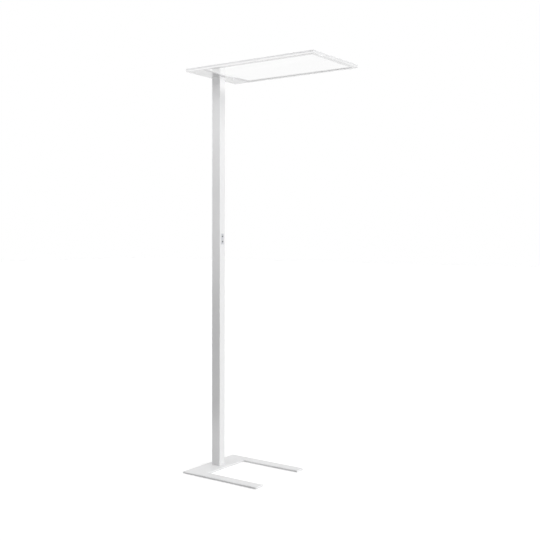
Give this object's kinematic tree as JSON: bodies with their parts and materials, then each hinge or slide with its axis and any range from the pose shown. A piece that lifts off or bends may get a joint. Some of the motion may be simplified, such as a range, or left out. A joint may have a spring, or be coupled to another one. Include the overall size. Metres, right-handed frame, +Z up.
{
  "type": "floor lamp",
  "caption": "Free-standing office floor lamp: U-shaped base, slim square post with a keypad, thin flat head with an opal light panel below and a lens above.",
  "frame": {"origin": "on the floor, under the post's axis", "axes": "+X along the legs and the head, away from the post; +Z up; +Y across"},
  "size_m": [0.737, 0.394, 1.95],
  "materials": {
    "frame_silver": "fine satin powder coat, pale silver grey",
    "head_silver": "fine satin powder coat, very pale silver grey",
    "bezel_white": "satin coat, near white",
    "base_silver": "textured satin powder coat, pale silver grey",
    "underlay_felt": "matt soft underlay",
    "bare_aluminium": "bare milled or rolled metal",
    "screw_steel": "zinc-plated steel",
    "inlet_black": "fine-grained black plastic",
    "contact_brass": "plated contact metal",
    "housing_white": "off-white moulded plastic",
    "keypad_grey": "light grey plastic, satin",
    "button_dark": "dark grey soft-touch plastic",
    "plunger_red": "moulded plastic",
    "status_smoke": "smoked clear plastic",
    "board_green": "circuit board lacquer",
    "board_white": "white circuit board lacquer",
    "chip_yellow": "phosphor over a light-emitting chip",
    "lead_black": "soft lead jacket",
    "lead_white": "soft lead jacket",
    "opal_panel": "glossy opal sheet, lit from above",
    "opal_rim": "satin opal bar that glows",
    "opal_lens": "satin opal sheet, lit from below",
    "guide_clear": "clear acrylic",
    "reflector_white": "matt white reflector film"
  },
  "bodies": {
    "lamp": {"base_plate": "base_silver", "base_underlay": "underlay_felt", "post_screws": "screw_steel", "post": "frame_silver", "inlet_body": "inlet_black", "inlet_pins": "contact_brass", "driver_case": "bare_aluminium", "driver_end_caps": "housing_white", "driver_clips": "screw_steel", "mains_lead": "lead_black", "led_lead": "lead_white", "control_lead": "lead_black", "strip_lead": "lead_white", "upper_lead": "lead_white", "keypad_bezel": "keypad_grey", "keypad_switches": "inlet_black", "keypad_board": "board_green", "status_window": "status_smoke", "mast_bracket": "bare_aluminium", "bracket_screws": "screw_steel", "lead_grommet": "lead_black", "tray_screws": "screw_steel", "bezel_frame": "bezel_white", "rear_cover": "head_silver", "rear_cover_screws": "screw_steel", "glow_rim": "opal_rim", "diffuser": "opal_panel", "light_guide": "guide_clear", "reflector_sheet": "reflector_white", "strip_carrier": "bare_aluminium", "edge_strip": "board_white", "edge_chips": "chip_yellow", "terminal_block": "housing_white", "chassis_tray": "bare_aluminium", "upper_light_boards": "board_white", "upper_light_chips": "chip_yellow", "upper_lens": "opal_lens", "top_cover": "head_silver", "cover_screws": "screw_steel"},
    "button_up": {"button_up": "button_dark", "plunger_up": "plunger_red"},
    "button_down": {"button_down": "button_dark", "plunger_down": "plunger_red"}
  },
  "joints": [
    {"name": "button_up_press", "type": "slide", "parent": "lamp", "child": "button_up", "axis": [-1, 0, 0], "range_m": [0, 0.0007], "stiffness_N_per_m": 1500, "springref_m": -0.0005},
    {"name": "button_down_press", "type": "slide", "parent": "lamp", "child": "button_down", "axis": [-1, 0, 0], "range_m": [0, 0.0007], "stiffness_N_per_m": 1500, "springref_m": -0.0005}
  ]
}
